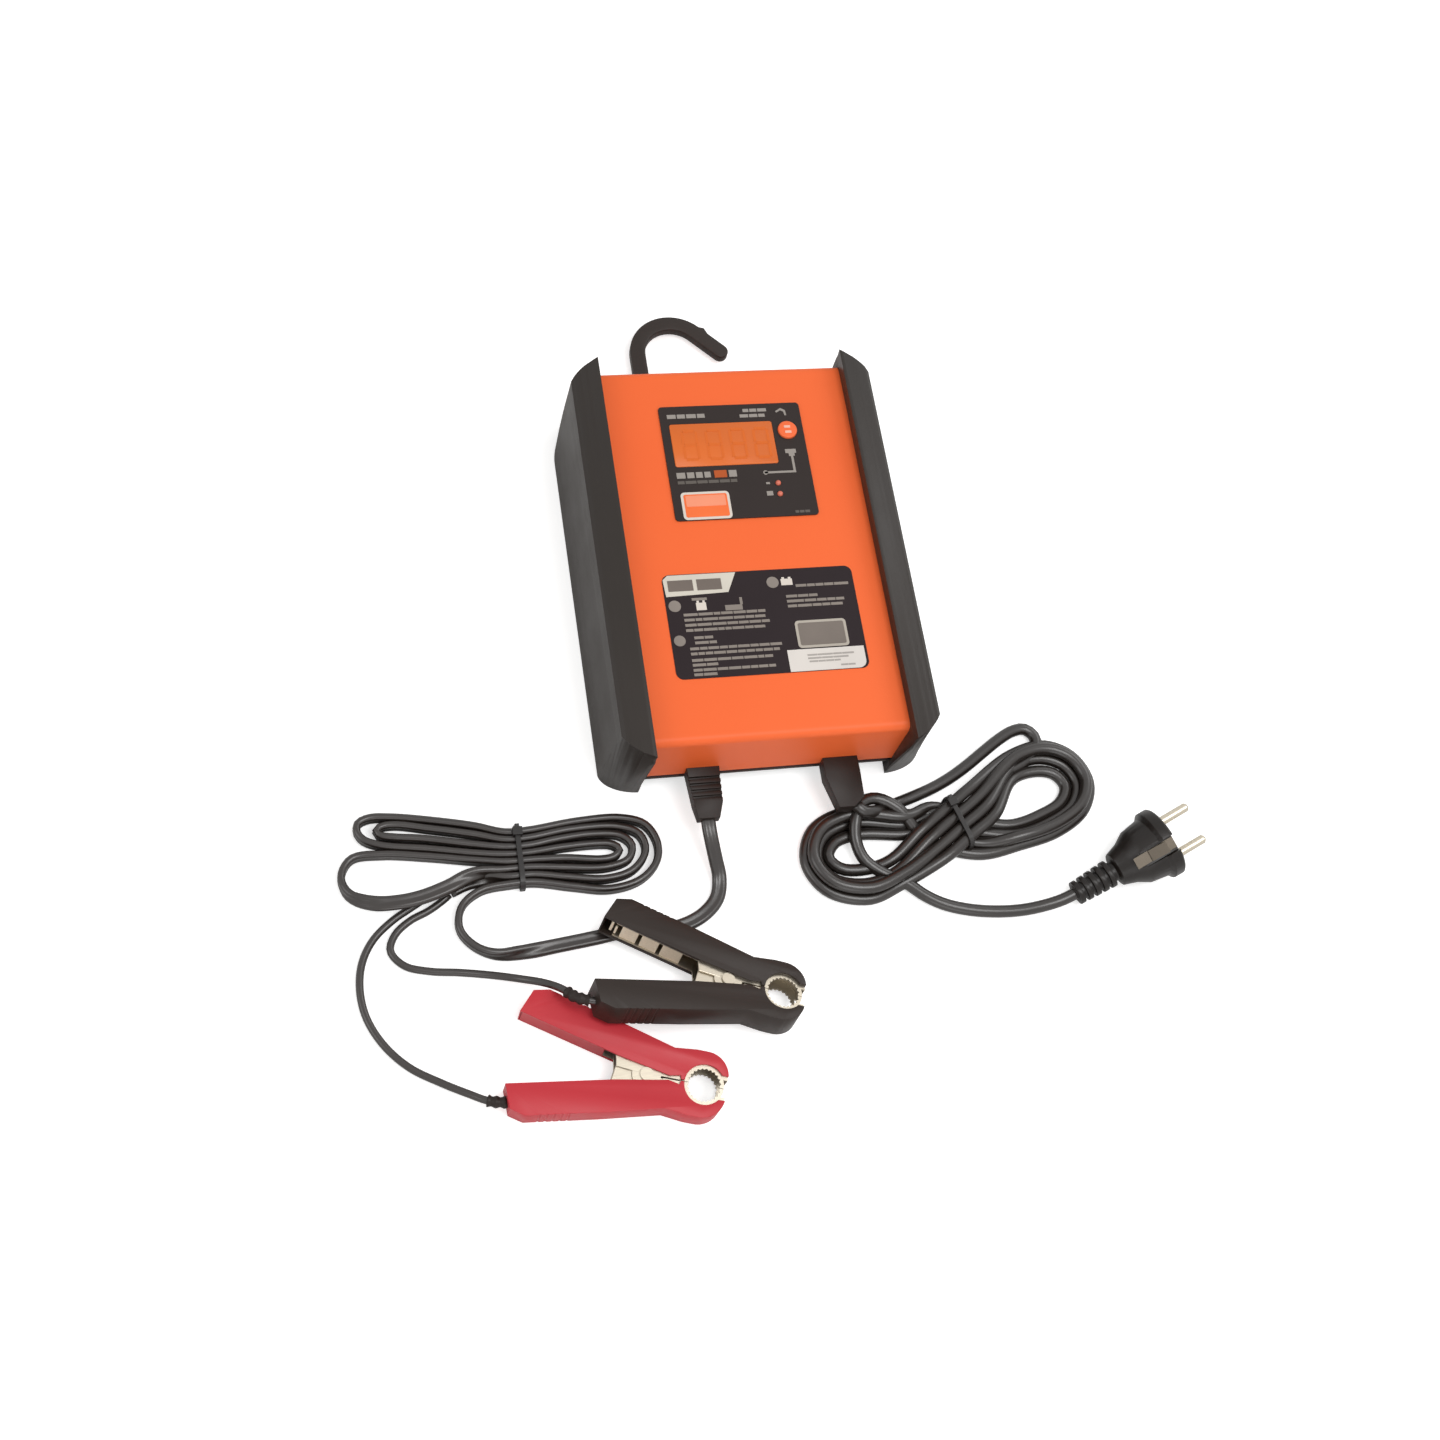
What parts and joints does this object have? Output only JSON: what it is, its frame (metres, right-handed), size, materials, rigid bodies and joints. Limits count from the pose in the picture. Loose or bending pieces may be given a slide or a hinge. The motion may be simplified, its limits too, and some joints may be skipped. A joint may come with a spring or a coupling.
{
  "type": "battery maintainer",
  "caption": "Flat battery maintainer: folded orange housing between dark end caps, display and button, hinged hanging hook, mains lead with plug and twin output lead with spring clamps.",
  "frame": {"origin": "floor under the middle of the rigid box of the object (housing, hook and boots), as it lies on its back", "axes": "+X to the right of the front, +Y up the front towards the hook, +Z out of the front"},
  "size_m": [0.4451, 0.4561, 0.0643],
  "materials": {
    "shell_paint": "smooth orange powder coat, satin",
    "back_steel": "black powder coat",
    "cap_plastic": "fine grained dark grey moulding",
    "panel_film": "dark printed film",
    "label_film": "dark printed label",
    "window_amber": "amber filter window",
    "button_orange": "orange key",
    "lamp_plastic": "diffused lamp bodies",
    "hook_black": "black moulding",
    "lcd_glass": "display module",
    "board_green": "solder mask",
    "bright_steel": "zinc plated",
    "jaw_steel": "bright plated spring steel",
    "part_black": "black component moulding",
    "ferrite": "sintered ferrite",
    "winding_tape": "yellow winding tape",
    "sink_alu": "extruded",
    "can_blue": "sleeved can",
    "copper_choke": "varnished winding",
    "fuse_glass": "clear tube",
    "relay_blue": "sealed relay case",
    "block_green": "screw terminal block",
    "ribbon_grey": "flat cable",
    "boot_black": "soft moulded boot",
    "cord_black": "black flexible jacket",
    "grip_black": "black moulded grip",
    "grip_red": "red moulded grip",
    "plug_black": "black moulded plug"
  },
  "bodies": {
    "housing": {"front_shell": "shell_paint", "back_plate": "back_steel", "back_screws": "bright_steel", "left_end_cap": "cap_plastic", "right_end_cap": "cap_plastic", "cap_screws": "bright_steel", "control_panel": "panel_film", "display_window": "window_amber", "lcd_module": "lcd_glass", "tact_switch": "part_black", "status_lamps": "lamp_plastic", "display_board": "board_green", "display_standoffs": "bright_steel", "guide_label": "label_film", "hook_bush": "bright_steel", "hook_washer": "bright_steel", "hook_screw": "bright_steel", "hook_nut": "bright_steel", "main_board": "board_green", "board_standoffs": "bright_steel", "board_screws": "bright_steel", "transformer_core": "ferrite", "transformer_winding": "winding_tape", "heat_sink": "sink_alu", "power_transistors": "part_black", "bulk_capacitor": "can_blue", "output_capacitors": "can_blue", "choke": "copper_choke", "fuse": "fuse_glass", "fuse_holder": "bright_steel", "relay": "relay_blue", "terminal_block": "block_green", "ribbon_cable": "ribbon_grey", "dc_boot": "boot_black", "mains_boot": "boot_black", "dc_lead": "cord_black", "dc_hank": "cord_black", "cable_ties": "part_black", "black_lead": "cord_black", "red_lead": "cord_black", "black_lower_grip": "grip_black", "black_lower_jaw": "jaw_steel", "black_pin": "jaw_steel", "black_spring": "jaw_steel", "red_lower_grip": "grip_red", "red_lower_jaw": "jaw_steel", "red_pin": "jaw_steel", "red_spring": "jaw_steel", "mains_lead": "cord_black", "mains_hank": "cord_black", "mains_tail": "cord_black", "plug_body": "plug_black", "plug_pins": "jaw_steel", "earth_strips": "jaw_steel"},
    "hook": {"hook": "hook_black"},
    "button": {"mode_button": "button_orange"},
    "black_upper": {"black_upper_grip": "grip_black", "black_upper_jaw": "jaw_steel"},
    "red_upper": {"red_upper_grip": "grip_red", "red_upper_jaw": "jaw_steel"}
  },
  "joints": [
    {"name": "hook_hinge", "type": "hinge", "parent": "housing", "child": "hook", "pos_m": [-0.0318, 0.06757, 0.00625], "axis": [0, 0, -1], "range_deg": [0, 90]},
    {"name": "button_press", "type": "slide", "parent": "housing", "child": "button", "axis": [0, 0, -1], "range_m": [0, 0.0008], "stiffness_N_per_m": 600, "springref_m": -0.0005},
    {"name": "black_clamp_hinge", "type": "hinge", "parent": "housing", "child": "black_upper", "pos_m": [-0.04, -0.239, 0.0152], "axis": [0.1504, 0.2055, 0.967], "range_deg": [0, 26], "stiffness_Nm_per_rad": 0.3, "springref_deg": -28.65},
    {"name": "red_clamp_hinge", "type": "hinge", "parent": "housing", "child": "red_upper", "pos_m": [-0.084, -0.278, 0.00795], "axis": [0, 0, 1], "range_deg": [0, 26], "stiffness_Nm_per_rad": 0.3, "springref_deg": -28.65}
  ]
}
